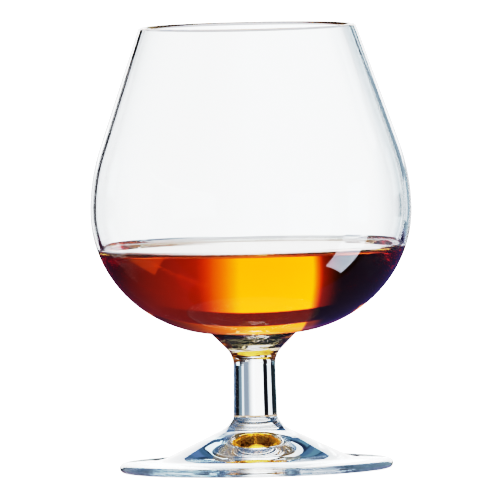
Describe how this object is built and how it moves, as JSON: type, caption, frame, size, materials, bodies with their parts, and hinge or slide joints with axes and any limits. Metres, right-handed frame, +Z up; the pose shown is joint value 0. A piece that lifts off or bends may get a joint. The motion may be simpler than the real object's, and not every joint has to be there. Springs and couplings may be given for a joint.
{
  "type": "brandy snifter",
  "caption": "Brandy snifter: clear glass bowl with a wide belly that narrows to the mouth, on a short flared stem and a round foot, holding a measure of amber brandy.",
  "frame": {"origin": "middle of the foot's resting face, on the table", "axes": "+Z up along the glass's axis, from the foot to the mouth; X and Y are free, because the glass is round"},
  "size_m": [0.0808, 0.0808, 0.112],
  "materials": {
    "blown_glass": "fire polished",
    "pressed_glass": "fire polished",
    "brandy": "clear amber liquid"
  },
  "bodies": {
    "glass": {"bowl": "blown_glass", "stem": "pressed_glass", "foot": "pressed_glass"},
    "brandy": {"brandy": "brandy"}
  },
  "joints": [
    {"name": "brandy_swirl", "type": "hinge", "parent": "glass", "child": "brandy", "pos_m": [0, 0, 0.0555], "axis": [0, 0, 1], "continuous": true}
  ]
}
